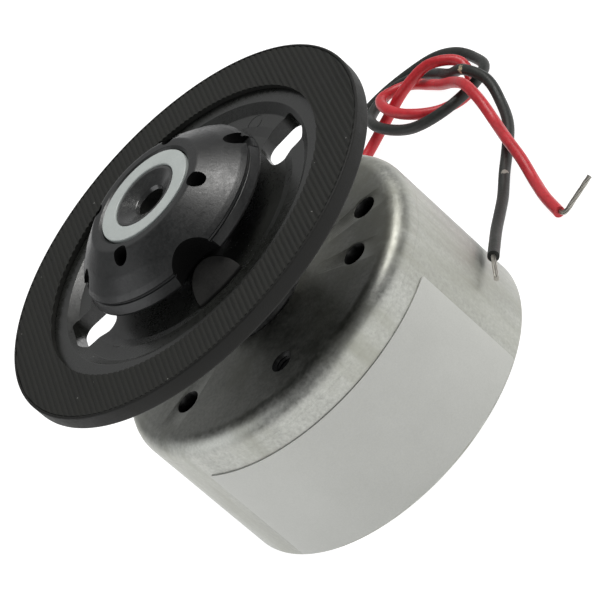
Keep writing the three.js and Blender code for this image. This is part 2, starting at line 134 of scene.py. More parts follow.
def rounded(corners, steps=6):
    """A section's corners [radius, height, fillet] with each fillet turned into an arc."""
    section = []
    for i, (r, z, fillet) in enumerate(corners):
        here = Vector((r, z))
        if fillet == 0:
            section.append((r, z))
            continue
        before = (Vector(corners[i - 1][:2]) - here).normalized()
        after = (Vector(corners[(i + 1) % len(corners)][:2]) - here).normalized()
        half = before.angle(after) / 2
        centre = here + (before + after).normalized() * fillet / math.sin(half)
        start = here + before * fillet / math.tan(half) - centre
        end = here + after * fillet / math.tan(half) - centre
        sweep = start.angle(end)
        for k in range(steps + 1):
            share = k / steps
            spoke = start * math.sin((1 - share) * sweep) + end * math.sin(share * sweep)
            section.append(tuple(centre + spoke / math.sin(sweep)))
    return section


def turned(name, section, segments=192, beside=(0, 0)):
    """A turned piece from a closed section of [radius, height] corners in millimetres."""
    points, rings, faces = [], [], []
    for r, z in section:
        if r < 1e-6:
            rings.append([len(points)] * segments)
            points.append((beside[0] * MM, beside[1] * MM, z * MM))
            continue
        rings.append(range(len(points), len(points) + segments))
        for j in range(segments):
            angle = 2 * math.pi * j / segments
            x = beside[0] + r * math.cos(angle)
            y = beside[1] + r * math.sin(angle)
            points.append((x * MM, y * MM, z * MM))
    for i, low in enumerate(rings):
        high = rings[(i + 1) % len(rings)]
        for j in range(segments):
            after = (j + 1) % segments
            loop = list(dict.fromkeys((low[j], low[after], high[after], high[j])))
            if len(loop) > 2:
                faces.append(loop)
    mesh = bpy.data.meshes.new(name)
    mesh.from_pydata(points, [], faces)
    piece = bpy.data.objects.new(name, mesh)
    scene.collection.objects.link(piece)
    return piece


def plain_mesh(piece):
    """The piece with its modifiers worked into its mesh."""
    graph = bpy.context.evaluated_depsgraph_get()
    worked = bpy.data.meshes.new_from_object(piece.evaluated_get(graph), depsgraph=graph)
    piece.modifiers.clear()
    piece.data = worked
    return piece


def carve(piece, tools, operation="DIFFERENCE"):
    """The piece with every tool cut from it, or joined to it, and the tools put away."""
    for tool in tools:
        step = piece.modifiers.new("carve", "BOOLEAN")
        step.object = tool
        step.operation = operation
        step.solver = "EXACT"
    plain_mesh(piece)
    for tool in tools:
        bpy.data.objects.remove(tool)
    return piece


def beside_shaft(distance, angle):
    """The x and y of a place at a distance from the shaft, in a direction in degrees."""
    return (distance * math.cos(math.radians(angle)), distance * math.sin(math.radians(angle)))


def block(name, size, place, turn=0, edge=0.1):
    """A box with worked edges, its middle at a place, turned about the shaft's axis."""
    x, y, z = (side / 2 * MM for side in size)
    points = [(a * x, b * y, c * z) for c in (-1, 1) for b in (-1, 1) for a in (-1, 1)]
    faces = [(0, 2, 3, 1), (4, 5, 7, 6), (0, 1, 5, 4), (2, 6, 7, 3), (0, 4, 6, 2), (1, 3, 7, 5)]
    mesh = bpy.data.meshes.new(name)
    mesh.from_pydata(points, [], faces)
    mesh.transform(Matrix.Rotation(math.radians(turn), 4, "Z") @ Matrix.Translation(Vector(place) * MM))
    piece = bpy.data.objects.new(name, mesh)
    scene.collection.objects.link(piece)
    if edge:
        bevel = piece.modifiers.new("edge", "BEVEL")
        bevel.width = edge * MM
        bevel.segments = 3
        plain_mesh(piece)
    return piece


def smoothed(piece, sharp=32):
    """Smooth faces with crisp edges where the surface turns by more than an angle."""
    piece.data.shade_smooth()
    piece.data.set_sharp_from_angle(angle=math.radians(sharp))
    even = piece.modifiers.new("even", "WEIGHTED_NORMAL")
    even.keep_sharp = True
    return plain_mesh(piece)


def fitted(piece, finish, slot, body, *nodes):
    """Gives the piece its finish and puts it on its body in place of the plain solids."""
    piece.data.materials.clear()
    piece.data.materials.append(finish)
    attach(piece, body)
    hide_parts(*nodes)
    return piece


def laid_over(tree, surface, where, tint):
    """A colour with a tint laid over it as far as a factor says."""
    # a Mix node's sockets of each kind share their names, so they are set by position
    mix = put_node(tree, "ShaderNodeMix", {0: where, 6: surface, 7: (*tint, 1)}, data_type="RGBA")
    return mix.outputs[2]


def spread(tree, value, low, high, to_low=0, to_high=1):
    """A value's range from low to high, drawn out to another range."""
    ends = {"Value": value, "From Min": low, "From Max": high, "To Min": to_low, "To Max": to_high}
    return put_node(tree, "ShaderNodeMapRange", ends).outputs["Result"]


def result_of(tree, kind, a, b):
    """What a Math node makes of two values: a sum, a product or a comparison."""
    return put_node(tree, "ShaderNodeMath", {0: a, 1: b}, operation=kind).outputs[0]


def cloud(tree, place, scale, detail, roughness):
    """Noise with a number of features per metre, broken up further by detail and roughness."""
    values = {"Vector": place, "Scale": scale, "Detail": detail, "Roughness": roughness}
    return put_node(tree, "ShaderNodeTexNoise", values).outputs["Fac"]


def worn_finish(
    name, pale, dark, roughness, metal, blotch, grain, depth,
    stretch=(1, 1, 1), shine=0.5, dust=0, stain=None, marks=(),
):
    """A finish that is mottled between two colours, with a fine grain in its gloss and relief.

    Blotch and grain are in features per millimetre, depth in millimetres, and stretch draws the
    mottling out along an axis. Roughness is given as its lowest and highest value. Dust is the
    radius of a speck in parts of their spacing, stain a tint in broad uneven patches, and each of
    the marks is one small spot with its place, radius and tint.
    """
    paint = bpy.data.materials.new(name)
    paint.use_nodes = True
    tree = paint.node_tree
    shader = tree.nodes["Principled BSDF"]
    shader.inputs["Metallic"].default_value = metal
    shader.inputs["Specular IOR Level"].default_value = shine
    place = put_node(tree, "ShaderNodeTexCoord").outputs["Object"]
    drawn = put_node(tree, "ShaderNodeMapping", {"Vector": place, "Scale": stretch}).outputs["Vector"]
    broad = cloud(tree, drawn, blotch / MM, 5, 0.62)
    fine = cloud(tree, place, grain / MM, 3, 0.7)
    mixed = result_of(tree, "ADD", broad, fine)
    surface = laid_over(tree, (*dark, 1), spread(tree, mixed, 0.72, 1.28), pale)
    if stain:
        patches = cloud(tree, drawn, blotch / MM * 0.38, 6, 0.68)
        surface = laid_over(tree, surface, spread(tree, patches, 0.47, 0.66, 0, 0.75), stain)
    if dust:
        speck = put_node(tree, "ShaderNodeTexVoronoi", {"Vector": place, "Scale": 0.82 / MM, "Randomness": 1})
        near = result_of(tree, "LESS_THAN", speck.outputs["Distance"], dust)
        chance = put_node(tree, "ShaderNodeSeparateColor", {"Color": speck.outputs["Color"]}).outputs["Red"]
        one_in_five = result_of(tree, "GREATER_THAN", chance, 0.8)
        surface = laid_over(tree, surface, result_of(tree, "MULTIPLY", near, one_in_five), (0.2, 0.2, 0.19))
    for spot, radius, tint in marks:
        centre = tuple(value * MM for value in spot)
        gap = put_node(tree, "ShaderNodeVectorMath", {0: place, 1: centre}, operation="DISTANCE")
        uneven = result_of(tree, "MULTIPLY", fine, radius * MM * 2)
        surface = laid_over(tree, surface, result_of(tree, "LESS_THAN", gap.outputs["Value"], uneven), tint)
    tree.links.new(surface, shader.inputs["Base Color"])
    gloss = spread(tree, mixed, 0.7, 1.3, *roughness)
    tree.links.new(gloss, shader.inputs["Roughness"])
    relief = put_node(tree, "ShaderNodeBump", {"Height": fine, "Distance": depth * MM, "Strength": 1})
    tree.links.new(relief.outputs["Normal"], shader.inputs["Normal"])
    return paint


can = turned(
    "can",
    rounded(
        [
            (11.4, 0, 0.12), (12.2, 0, 0.18), (12.2, 10.56, 0), (12.185, 10.59, 0), (12.185, 10.62, 0),
            (12.2, 10.65, 0), (12.2, 12.3, 1.35), (3.65, 12.3, 0.2), (3.4, 12.9, 0.14), (2.63, 12.9, 0.08),
            (2.63, 11.5, 0.1), (11.4, 11.5, 0.5),
        ],
        8,
    ),
    256,
)
stakes = [block("stake", (0.9, 1.4, 0.44), (11.25, 0, 0.98), turn, 0.08) for turn in range(0, 360, 60)]
carve(can, stakes, "UNION")
plain_holes = [beside_shaft(8.5, angle) for angle in (-165, -45, 15, 135)] + [beside_shaft(9.2, -18)]
tapped_holes = [beside_shaft(8.5, angle) for angle in (-105, 75)]
punch = [(0, 11), (0.8, 11), (0.8, 12.12), (0.86, 12.24), (1, 12.31), (1, 13), (0, 13)]
thread = [(0.6 + 0.09 * (k % 2), 11.3 + 0.13 * k) for k in range(8)]
tap = [(0, 11), (0.6, 11), *thread, (0.82, 12.31), (0.82, 13), (0, 13)]
punched = [turned("punch", punch, 48, spot) for spot in plain_holes]
punched += [turned("tap", tap, 48, spot) for spot in tapped_holes]
lead_notch = block("lead_notch", (5.4, 3, 2.6), (0, 12.2, 0), 0, 0.4)
carve(can, [*punched, lead_notch])
smoothed(can)
zinc = worn_finish(
    "zinc_plate", pale=(0.565, 0.572, 0.536), dark=(0.32, 0.324, 0.3), roughness=(0.34, 0.58),
    metal=1, blotch=0.42, grain=4.2, depth=0.008, stretch=(1, 1, 0.2), stain=(0.31, 0.312, 0.265),
)
fitted(can, zinc, "zinc_steel", "stator", "can_housing")
# the holes' walls and the collar get a near-black steel finish, which is painted shade for the dark inside
# the holes and under the turntable
can.data.materials.append(
    worn_finish(
        "painted_shade_steel", pale=(0.09, 0.09, 0.088), dark=(0.03, 0.03, 0.03), roughness=(0.4, 0.6),
        metal=1, blotch=0.9, grain=5, depth=0.01,
    )
)
# painted shade: faces inside the holes and on the collar take the near-black finish
for face in can.data.polygons:
    x, y, z = face.center / MM
    in_hole = any(math.hypot(x - a, y - b) < 0.85 for a, b in plain_holes + tapped_holes)
    on_collar = math.hypot(x, y) < 3.9 and z > 12.31
    if on_collar or (in_hole and 11.5 < z < 12.29):
        face.material_index = 1

# ---------------------------------------------------------------------------
# Front bearing and field magnets
# The bearing is a bush of oil-filled sintered bronze pressed into the collar. Two arcs of
# black ferrite, glued inside the can, make the field.
# ---------------------------------------------------------------------------

bronze = worn_finish(
    "sintered_bronze", pale=(0.42, 0.31, 0.17), dark=(0.2, 0.14, 0.07), roughness=(0.4, 0.62),
    metal=1, blotch=0.9, grain=9, depth=0.01,
)
front_bush = turned(
    "front_bush",
    rounded([(1.04, 10.2, 0.1), (2.6, 10.2, 0.12), (2.6, 12.9, 0.12), (1.04, 12.9, 0.16)], 4),
    96,
)
fitted(smoothed(front_bush), bronze, "sintered_bronze", "stator", "front_bearing")


def refinished(finish, *nodes):
    """A better finish for solids whose plain shape is right."""
    for node in nodes:
        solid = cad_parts[node]
        solid.data.materials.clear()
        solid.data.materials.append(finish)


ferrite = worn_finish(
    "ferrite", pale=(0.045, 0.044, 0.045), dark=(0.02, 0.02, 0.021), roughness=(0.6, 0.85),
    metal=0, blotch=0.7, grain=6, depth=0.02,
)
refinished(ferrite, "field_magnet_left", "field_magnet_right")

# ---------------------------------------------------------------------------
# Rear cap
# A black nylon disc staked into the can's open end. It holds the rear bush over a small
# steel thrust plate, two brass terminals, and the springy brass fingers of the brushes.
# ---------------------------------------------------------------------------

nylon = worn_finish(
    "black_nylon", pale=(0.03, 0.031, 0.03), dark=(0.012, 0.0125, 0.012), roughness=(0.36, 0.55),
    metal=0, blotch=0.5, grain=5, depth=0.012,
)
cap = turned(
    "cap",
    rounded(
        [
            (0, 0.3, 0), (3.2, 0.3, 0.25), (3.2, 1.25, 0.12), (5.6, 1.25, 0), (5.7, 1.35, 0), (6.1, 1.35, 0),
            (6.2, 1.25, 0), (11.36, 1.25, 0.1), (11.36, 2.4, 0.1), (2.03, 2.4, 0.05), (2.03, 0.87, 0),
            (1.35, 0.87, 0), (1.35, 0.5, 0), (0, 0.5, 0),
        ],
        4,
    ),
    128,
)
tag_across, tag_back, tag_middle = 3.2, 7.18, 2.4
slots = [block("slot", (2, 0.5, 4), (side * tag_across, tag_back, tag_middle), 0, 0) for side in (-1, 1)]
fitted(smoothed(carve(cap, slots)), nylon, "black_nylon", "stator", "rear_cap")
polished = worn_finish(
    "polished_steel", pale=(0.62, 0.625, 0.63), dark=(0.48, 0.485, 0.49), roughness=(0.14, 0.28),
    metal=1, blotch=0.8, grain=9, depth=0.002,
)
brass = worn_finish(
    "stamped_brass", pale=(0.68, 0.47, 0.19), dark=(0.48, 0.31, 0.12), roughness=(0.24, 0.42),
    metal=1, blotch=0.7, grain=7, depth=0.004,
)
refinished(bronze, "rear_bearing")
refinished(polished, "thrust_plate")
for word in ("positive", "negative"):
    refinished(brass, f"brush_finger_{word}")

tin = worn_finish(
    "tin_solder", pale=(0.66, 0.665, 0.67), dark=(0.45, 0.455, 0.46), roughness=(0.18, 0.36),
    metal=1, blotch=0.9, grain=6, depth=0.008,
)
for word, side in (("positive", 1), ("negative", -1)):
    tag = block(f"tag_{word}", (1.8, 0.35, 4), (side * tag_across, tag_back, tag_middle), 0, 0.06)
    fitted(smoothed(tag), brass, "brass", "stator", f"terminal_{word}")
    low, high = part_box(f"solder_joint_{word}")
    middle, half = (low + high) / 2, (high - low) / 2
    bead = turned(f"bead_{word}", rounded([(0, -1, 0), (0.98, -1, 0.9), (1, 1, 0.95), (0, 1, 0)], 10), 48)
    for point in bead.data.vertices:
        swell = 0.93 + 0.07 * noise.noise(point.co / MM * 2.1 + Vector((side, 0, 0)))
        point.co = middle + Vector(a * b / MM * swell for a, b in zip(point.co, half))
    fitted(smoothed(bead, 60), tin, "solder", "stator", f"solder_joint_{word}")

# ---------------------------------------------------------------------------
# Label
# A blank strip of pale coated paper, cut with round corners and stuck round part of the
# can's side by its own gum.
# ---------------------------------------------------------------------------

label_from, label_to = -151.875, -50.625
label_rear, label_front = 0.25, 9.4
label_inner, label_outer = 12.205, 12.29
label_corner = 0.12


def label_sheet():
    """The strip bent round the can, closed on all sides, with its corners cut round."""
    columns, rows = 140, 26
    points, faces = [], []
    for radius in (label_inner, label_outer):
        for i in range(columns + 1):
            share = i / columns
            angle = math.radians(label_from + (label_to - label_from) * share)
            from_end = min(share, 1 - share) * math.radians(label_to - label_from) * radius
            inset = 0
            if from_end < label_corner:
                inset = label_corner - math.sqrt(label_corner**2 - (label_corner - from_end) ** 2)
            for j in range(rows + 1):
                z = label_rear + inset + (label_front - label_rear - 2 * inset) * j / rows
                points.append((radius * math.cos(angle) * MM, radius * math.sin(angle) * MM, z * MM))
    side = (columns + 1) * (rows + 1)
    for i in range(columns):
        for j in range(rows):
            a = i * (rows + 1) + j
            faces.append((a, a + 1, a + rows + 2, a + rows + 1))
            faces.append((side + a, side + a + rows + 1, side + a + rows + 2, side + a + 1))
    edge = [i * (rows + 1) for i in range(columns)]
    edge += [columns * (rows + 1) + j for j in range(rows)]
    edge += [(columns - i) * (rows + 1) + rows for i in range(columns)]
    edge += [rows - j for j in range(rows)]
    for a, b in zip(edge, edge[1:] + edge[:1]):
        faces.append((a, b, side + b, side + a))
    mesh = bpy.data.meshes.new("label_sheet")
    mesh.from_pydata(points, [], faces)
    sheet = bpy.data.objects.new("label_sheet", mesh)
    scene.collection.objects.link(sheet)
    return sheet


label_paper = worn_finish(
    "label_paper", pale=(0.55, 0.555, 0.525), dark=(0.48, 0.485, 0.455), roughness=(0.42, 0.6),
    metal=0, blotch=0.18, grain=9, depth=0.006,
)
fitted(smoothed(label_sheet()), label_paper, "label_paper", "stator", "label")

# ---------------------------------------------------------------------------
# Armature
# Three wound poles of silicon-steel laminations on a ground shaft, with a small copper
# commutator, a varistor ring and a plastic washer. All of it turns inside the closed can.
# ---------------------------------------------------------------------------

laminations = worn_finish(
    "laminated_steel", pale=(0.3, 0.31, 0.32), dark=(0.17, 0.175, 0.18), roughness=(0.35, 0.55),
    metal=1, blotch=0.9, grain=7, depth=0.008, stretch=(1, 1, 9),
)
enamelled_wire = worn_finish(
    "enamelled_wire", pale=(0.5, 0.17, 0.05), dark=(0.24, 0.07, 0.02), roughness=(0.18, 0.34),
    metal=1, blotch=1.5, grain=8, depth=0.01, stretch=(1, 1, 5),
)
copper_bars = worn_finish(
    "copper_bars", pale=(0.6, 0.25, 0.11), dark=(0.38, 0.14, 0.06), roughness=(0.22, 0.4),
    metal=1, blotch=0.9, grain=8, depth=0.004,
)
acetal = worn_finish(
    "pale_acetal", pale=(0.49, 0.525, 0.51), dark=(0.42, 0.455, 0.44), roughness=(0.34, 0.46),
    metal=0, blotch=0.6, grain=5, depth=0.005,
)
refinished(polished, "shaft")
refinished(laminations, "armature_core")
refinished(enamelled_wire, "coil_1", "coil_2", "coil_3")
refinished(copper_bars, "commutator_segment_1", "commutator_segment_2", "commutator_segment_3")
refinished(nylon, "commutator_sleeve")
refinished(ferrite, "varistor_ring")
refinished(acetal, "shaft_washer")

# ---------------------------------------------------------------------------
# Turntable
# One moulding in black polycarbonate, pressed on the shaft: a rim with a recess for the
# pad, a web with two windows and a sloped lug, and the post that carries the cone.
# ---------------------------------------------------------------------------

table_clock, cone_clock = -99.8, -98
pocket_spot = beside_shaft(8.28, cone_clock)


def upright_corners(piece, radius):
    """Rounds a block's four upright edges."""
    bevel = piece.modifiers.new("corners", "BEVEL")
    bevel.width = radius * MM
    bevel.segments = 8
    bevel.limit_method = "WEIGHT"
    weights = piece.data.attributes.new("bevel_weight_edge", "FLOAT", "EDGE")
    for edge in piece.data.edges:
        a, b = (piece.data.vertices[i].co for i in edge.vertices)
        weights.data[edge.index].value = 1.0 if abs(a.z - b.z) > 0.001 else 0.0
    return plain_mesh(piece)


def round_bar(name, radius, low, high, spot, segments=40, taper=0):
    """An upright bar at a spot, to cut a hole or to keep what lies inside it."""
    return turned(name, [(0, low), (radius, low), (radius + taper, high), (0, high)], segments, spot)


table_plastic = worn_finish(
    "table_plastic", pale=(0.019, 0.02, 0.018), dark=(0.008, 0.0085, 0.0075), roughness=(0.22, 0.4),
    metal=0, blotch=0.26, grain=4.2, depth=0.004, shine=0.55, dust=0.05,
)
turntable = turned(
    "turntable_moulding",
    rounded(
        [
            (1.03, 13.2, 0.05), (3.2, 13.2, 0.2), (3.3, 17.3, 0.4), (4.1, 17.9, 0.3), (10.8, 17.9, 0.2),
            (11.3, 18.64, 0.2), (14.95, 18.64, 0.22), (14.95, 19.85, 0.12), (14.76, 19.85, 0.05),
            (14.76, 19.42, 0), (10.5, 19.42, 0.12), (9.8, 18.95, 0.2), (8.8, 18.95, 0.3), (8.1, 18.8, 0.3),
            (2.44, 18.8, 0.1), (2.44, 23.28, 0.1), (2.2, 23.28, 0.12), (1.2, 22.82, 0.12), (1.03, 22.6, 0.08),
        ],
        6,
    ),
    256,
)
lug = turned(
    "lug",
    rounded([(6.2, 18.3, 0), (8.35, 18.3, 0), (8.35, 19.05, 0.18), (6.2, 20.55, 0.2)], 4),
    256,
)
carve(lug, [round_bar("lug_round", 1.8, 17, 22, pocket_spot, 96)], "INTERSECT")
window_middle, window_size, window_corner = 8.575, (3.15, 3.8, 5), 0.9
drilled = []
for turn in (-94, 94):
    window = block("window", window_size, (window_middle, 0, 19), table_clock + turn, 0)
    drilled.append(upright_corners(window, window_corner))
# the mould's ejector pins leave faint rings on the web
for spot in ((8.33, 3.68), (-7.93, -2.29), (1.2, 9.1)):
    ejector = rounded([(0.58, 18.93, 0), (0.66, 18.93, 0), (0.66, 19.2, 0), (0.58, 19.2, 0)])
    drilled.append(turned("ejector", ejector, 40, spot))
carve(turntable, drilled)
fitted(smoothed(turntable), table_plastic, "turntable_plastic", "rotor", "turntable")
# the mould is etched matt round the rim, where its colour is also painted darker as painted shade on the
# rim's side, and polished at the post's top
turntable.data.materials.append(
    worn_finish(
        "matt_rim_painted_shade", pale=(0.014, 0.014, 0.0125), dark=(0.007, 0.007, 0.0065), roughness=(0.5, 0.72),
        metal=0, blotch=0.7, grain=5.2, depth=0.012, shine=0.22, dust=0.06,
    )
)
turntable.data.materials.append(
    worn_finish(
        "polished_hub", pale=(0.02, 0.021, 0.02), dark=(0.01, 0.01, 0.01), roughness=(0.16, 0.3),
        metal=0, blotch=0.5, grain=4, depth=0.003, shine=0.8,
    )
)
for face in turntable.data.polygons:
    x, y, z = face.center / MM
    from_shaft = math.hypot(x, y)
    # the rim takes the matt finish, whose darker colour is painted shade
    if from_shaft > 14.7:
        face.material_index = 1
    elif from_shaft < 2.5 and z > 22:
        face.material_index = 2
lug_plastic = worn_finish(
    "lug_plastic", pale=(0.017, 0.0165, 0.015), dark=(0.008, 0.0078, 0.007), roughness=(0.45, 0.65),
    metal=0, blotch=0.9, grain=6, depth=0.01, shine=0.3,
)
fitted(smoothed(lug), lug_plastic, "turntable_plastic", "rotor", "turntable")

# ---------------------------------------------------------------------------
# Friction pad
# A flat ring of dark rubbery sheet glued into the rim. The sheet is moulded with fine
# straight ribs, and the ring is punched from it, so the ribs all run one way.
# ---------------------------------------------------------------------------

pad_inner, pad_outer, pad_thickness = 11.55, 14.72, 0.4
pad_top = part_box("friction_pad")[1].z / MM
rib_count, rib_pitch, rib_direction = 77, 0.388, 77.8
rib_half, rib_flatness = 0.15, 0.4
rib_rise = rib_half * rib_flatness
pad_rubber = worn_finish(
    "pad_rubber", pale=(0.019, 0.0195, 0.0165), dark=(0.009, 0.0092, 0.008), roughness=(0.6, 0.85),
    metal=0, blotch=0.9, grain=7, depth=0.01, shine=0.3, dust=0.045,
)


def grown(name, tree, source, values):
    """The plain mesh that a node tree grows from a source, with inputs set by identifier."""
    piece = bpy.data.objects.new(name, source)
    scene.collection.objects.link(piece)
    step = piece.modifiers.new("grow", "NODES")
    step.node_group = tree
    for socket in tree.interface.items_tree:
        if socket.item_type == "SOCKET" and socket.in_out == "INPUT" and socket.name in values:
            step[socket.identifier] = values[socket.name]
    graph = bpy.context.evaluated_depsgraph_get()
    mesh = bpy.data.meshes.new_from_object(piece.evaluated_get(graph), depsgraph=graph)
    bpy.data.objects.remove(piece)
    plain = bpy.data.objects.new(name, mesh)
    scene.collection.objects.link(plain)
    return plain


def open_tree(name, *inputs):
    """A node tree with named inputs, each with its kind and first value, and what they give."""
    tree = bpy.data.node_groups.new(name, "GeometryNodeTree")
    tree.interface.new_socket("Geometry", in_out="INPUT", socket_type="NodeSocketGeometry")
    for label, kind, value in inputs:
        socket = tree.interface.new_socket(label, in_out="INPUT", socket_type=kind)
        socket.default_value = value
    tree.interface.new_socket("Finish", in_out="INPUT", socket_type="NodeSocketMaterial")
    tree.interface.new_socket("Geometry", in_out="OUTPUT", socket_type="NodeSocketGeometry")
    return tree, put_node(tree, "NodeGroupInput").outputs


def close_tree(tree, given, geometry):
    """The tree's end: every instance made real and given the finish."""
    whole = put_node(tree, "GeometryNodeRealizeInstances", {"Geometry": geometry}).outputs[0]
    dressed = put_node(tree, "GeometryNodeSetMaterial", {"Geometry": whole, "Material": given["Finish"]})
    put_node(tree, "NodeGroupOutput", {"Geometry": dressed.outputs[0]})


def wire_section(tree, sides, radius):
    """The round section of a rib, a wire or a sheath."""
    values = {"Resolution": sides, "Radius": radius}
    return put_node(tree, "GeometryNodeCurvePrimitiveCircle", values).outputs[0]


def drawn_along(tree, line, section):
    """A solid drawn along a line, with its ends closed."""
    values = {"Curve": line, "Profile Curve": section, "Fill Caps": True}
    return put_node(tree, "GeometryNodeCurveToMesh", values).outputs[0]


def along_axis(tree, axis, length):
    """A length, or a turn, along one axis."""
    return put_node(tree, "ShaderNodeCombineXYZ", {axis: length}).outputs[0]


def moved(tree, geometry, **values):
    """Geometry moved, turned or scaled."""
    changes = {key.capitalize(): value for key, value in values.items()}
    return put_node(tree, "GeometryNodeTransform", {"Geometry": geometry, **changes}).outputs[0]


ribs, given = open_tree(
    "pad_ribs",
    ("Count", "NodeSocketInt", 75),
    ("Pitch", "NodeSocketFloat", 0.0004),
    ("Rib Radius", "NodeSocketFloat", 0.0001),
    ("Reach", "NodeSocketFloat", 0.015),
    ("Height", "NodeSocketFloat", 0.02),
    ("Turn", "NodeSocketFloat", 0.0),
)
all_across = result_of(ribs, "MULTIPLY", given["Count"], given["Pitch"])
first_place = along_axis(ribs, "Y", result_of(ribs, "MULTIPLY", all_across, -0.5))
places = put_node(
    ribs,
    "GeometryNodeMeshLine",
    {
        "Count": given["Count"],
        "Start Location": first_place,
        "Offset": along_axis(ribs, "Y", given["Pitch"]),
    },
).outputs[0]
left_end = along_axis(ribs, "X", result_of(ribs, "MULTIPLY", given["Reach"], -1))
right_end = along_axis(ribs, "X", given["Reach"])
rib_line = put_node(ribs, "GeometryNodeCurvePrimitiveLine", {"Start": left_end, "End": right_end}).outputs[0]
rib_bar = drawn_along(ribs, rib_line, wire_section(ribs, 12, given["Rib Radius"]))
flat_rib = moved(ribs, rib_bar, scale=(1, 1, rib_flatness))
laid = put_node(ribs, "GeometryNodeInstanceOnPoints", {"Points": places, "Instance": flat_rib}).outputs[0]
lift = along_axis(ribs, "Z", given["Height"])
turn = along_axis(ribs, "Z", given["Turn"])
close_tree(ribs, given, moved(ribs, laid, translation=lift, rotation=turn))

pad = grown(
    "pad_sheet",
    ribs,
    bpy.data.meshes.new("pad_sheet"),
    {
        "Count": rib_count,
        "Pitch": rib_pitch * MM,
        "Rib Radius": rib_half * MM,
        "Reach": 15 * MM,
        "Height": (pad_top - rib_rise) * MM,
        "Turn": math.radians(rib_direction),
        "Finish": pad_rubber,
    },
)
below, above = 19, 20.5
punch_section = [(pad_inner, below), (pad_outer, below), (pad_outer, above), (pad_inner, above)]
carve(pad, [turned("punch_ring", punch_section, 256)], "INTERSECT")
backing = turned(
    "pad_backing",
    rounded(
        [
            (pad_inner, pad_top - pad_thickness, 0.02), (pad_outer, pad_top - pad_thickness, 0.02),
            (pad_outer, pad_top - rib_rise, 0.03), (pad_inner, pad_top - rib_rise, 0.03),
        ],
        3,
    ),
    256,
)
fitted(smoothed(pad, 50), pad_rubber, "pad_rubber", "rotor", "friction_pad")
fitted(smoothed(backing), pad_rubber, "pad_rubber", "rotor", "friction_pad")

# ---------------------------------------------------------------------------
# Centring cone, its spring and its retaining ring
# The cone is a black acetal moulding that slides on the turntable's post, pushed up by a
# coil spring of bright wire. A pale plastic ring pressed on the post holds it there.
# ---------------------------------------------------------------------------

spring_radius, spring_wire, spring_turns = 3.75, 0.28, 3
spring_seat, spring_stop, end_gap = 18.75, 22.05, 0.05
spring_foot = spring_seat + spring_wire / 2 + end_gap
spring_head = spring_stop - spring_wire / 2 - end_gap
coiled, given = open_tree(
    "cone_spring",
    ("Turns", "NodeSocketFloat", 3.0),
    ("Coil Radius", "NodeSocketFloat", 0.004),
    ("Coil Height", "NodeSocketFloat", 0.003),
    ("Wire Radius", "NodeSocketFloat", 0.0001),
    ("Foot", "NodeSocketFloat", 0.0),
)
helix = put_node(
    coiled,
    "GeometryNodeCurveSpiral",
    {
        "Resolution": 48,
        "Rotations": given["Turns"],
        "Start Radius": given["Coil Radius"],
        "End Radius": given["Coil Radius"],
        "Height": given["Coil Height"],
    },
).outputs[0]
wound = drawn_along(coiled, helix, wire_section(coiled, 12, given["Wire Radius"]))
seated = moved(coiled, wound, translation=along_axis(coiled, "Z", given["Foot"]))
close_tree(coiled, given, seated)
spring_steel = worn_finish(
    "spring_wire", pale=(0.6, 0.6, 0.62), dark=(0.42, 0.42, 0.44), roughness=(0.14, 0.26),
    metal=1, blotch=0.9, grain=9, depth=0.003,
)
spring = grown(
    "spring_coil",
    coiled,
    bpy.data.meshes.new("spring_coil"),
    {
        "Turns": spring_turns,
        "Coil Radius": spring_radius * MM,
        "Coil Height": (spring_head - spring_foot) * MM,
        "Wire Radius": spring_wire / 2 * MM,
        "Foot": spring_foot * MM,
        "Finish": spring_steel,
    },
)
fitted(smoothed(spring, 50), spring_steel, "spring_steel", "rotor", "cone_spring")
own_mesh(spring)

cone_plastic = worn_finish(
    "cone_plastic", pale=(0.018, 0.0185, 0.0185), dark=(0.0075, 0.008, 0.008), roughness=(0.28, 0.5),
    metal=0, blotch=0.42, grain=4.6, depth=0.01,
)
cone = turned(
    "cone_moulding",
    rounded(
        [
            (2.5, 20.4, 0.08), (3.1, 20.4, 0.08), (3.1, 22.05, 0.1), (4.3, 22.05, 0.2), (6.2, 20.95, 0.2),
            (6.4, 20.4, 0.06), (7.42, 20.4, 0.06), (7.42, 20.55, 0.05), (7.14, 21.1, 0.06), (7, 21.13, 0.02),
            (6.98, 21.25, 0.02), (7.15, 21.36, 0.04), (6.85, 21.68, 0.8), (5.95, 22.42, 2.4),
            (4.55, 23.36, 0.5), (3.95, 23.36, 0.07), (3.76, 23.2, 0.05), (3.75, 22.9, 0.02),
            (2.5, 22.9, 0.05),
        ],
        8,
    ),
    256,
)
carve(cone, [block("pocket_wall", (0.72, 4, 1), (6.06, 0, 20.9), cone_clock, 0)], "UNION")
pocket_radius, hole_radius, notch_radius = 2.02, 0.6, 0.8
pocket_section = [(0, 19), (pocket_radius, 19), (pocket_radius, 22.2), (2.12, 25), (0, 25)]
upper_holes = [beside_shaft(4.8, cone_clock + turn) for turn in (-135, -45, 45, 135)]
base_notches = [beside_shaft(6.9, angle) for angle in (-12, 169)]
cored = [turned("pocket", pocket_section, 96, pocket_spot)]
cored += [round_bar("upper_hole", hole_radius, 21.2, 25, spot, taper=0.02) for spot in upper_holes]
cored += [round_bar("base_notch", notch_radius, 20.8, 25, spot, taper=0.01) for spot in base_notches]
fitted(smoothed(carve(cone, cored)), cone_plastic, "cone_plastic", "cone", "centring_cone")
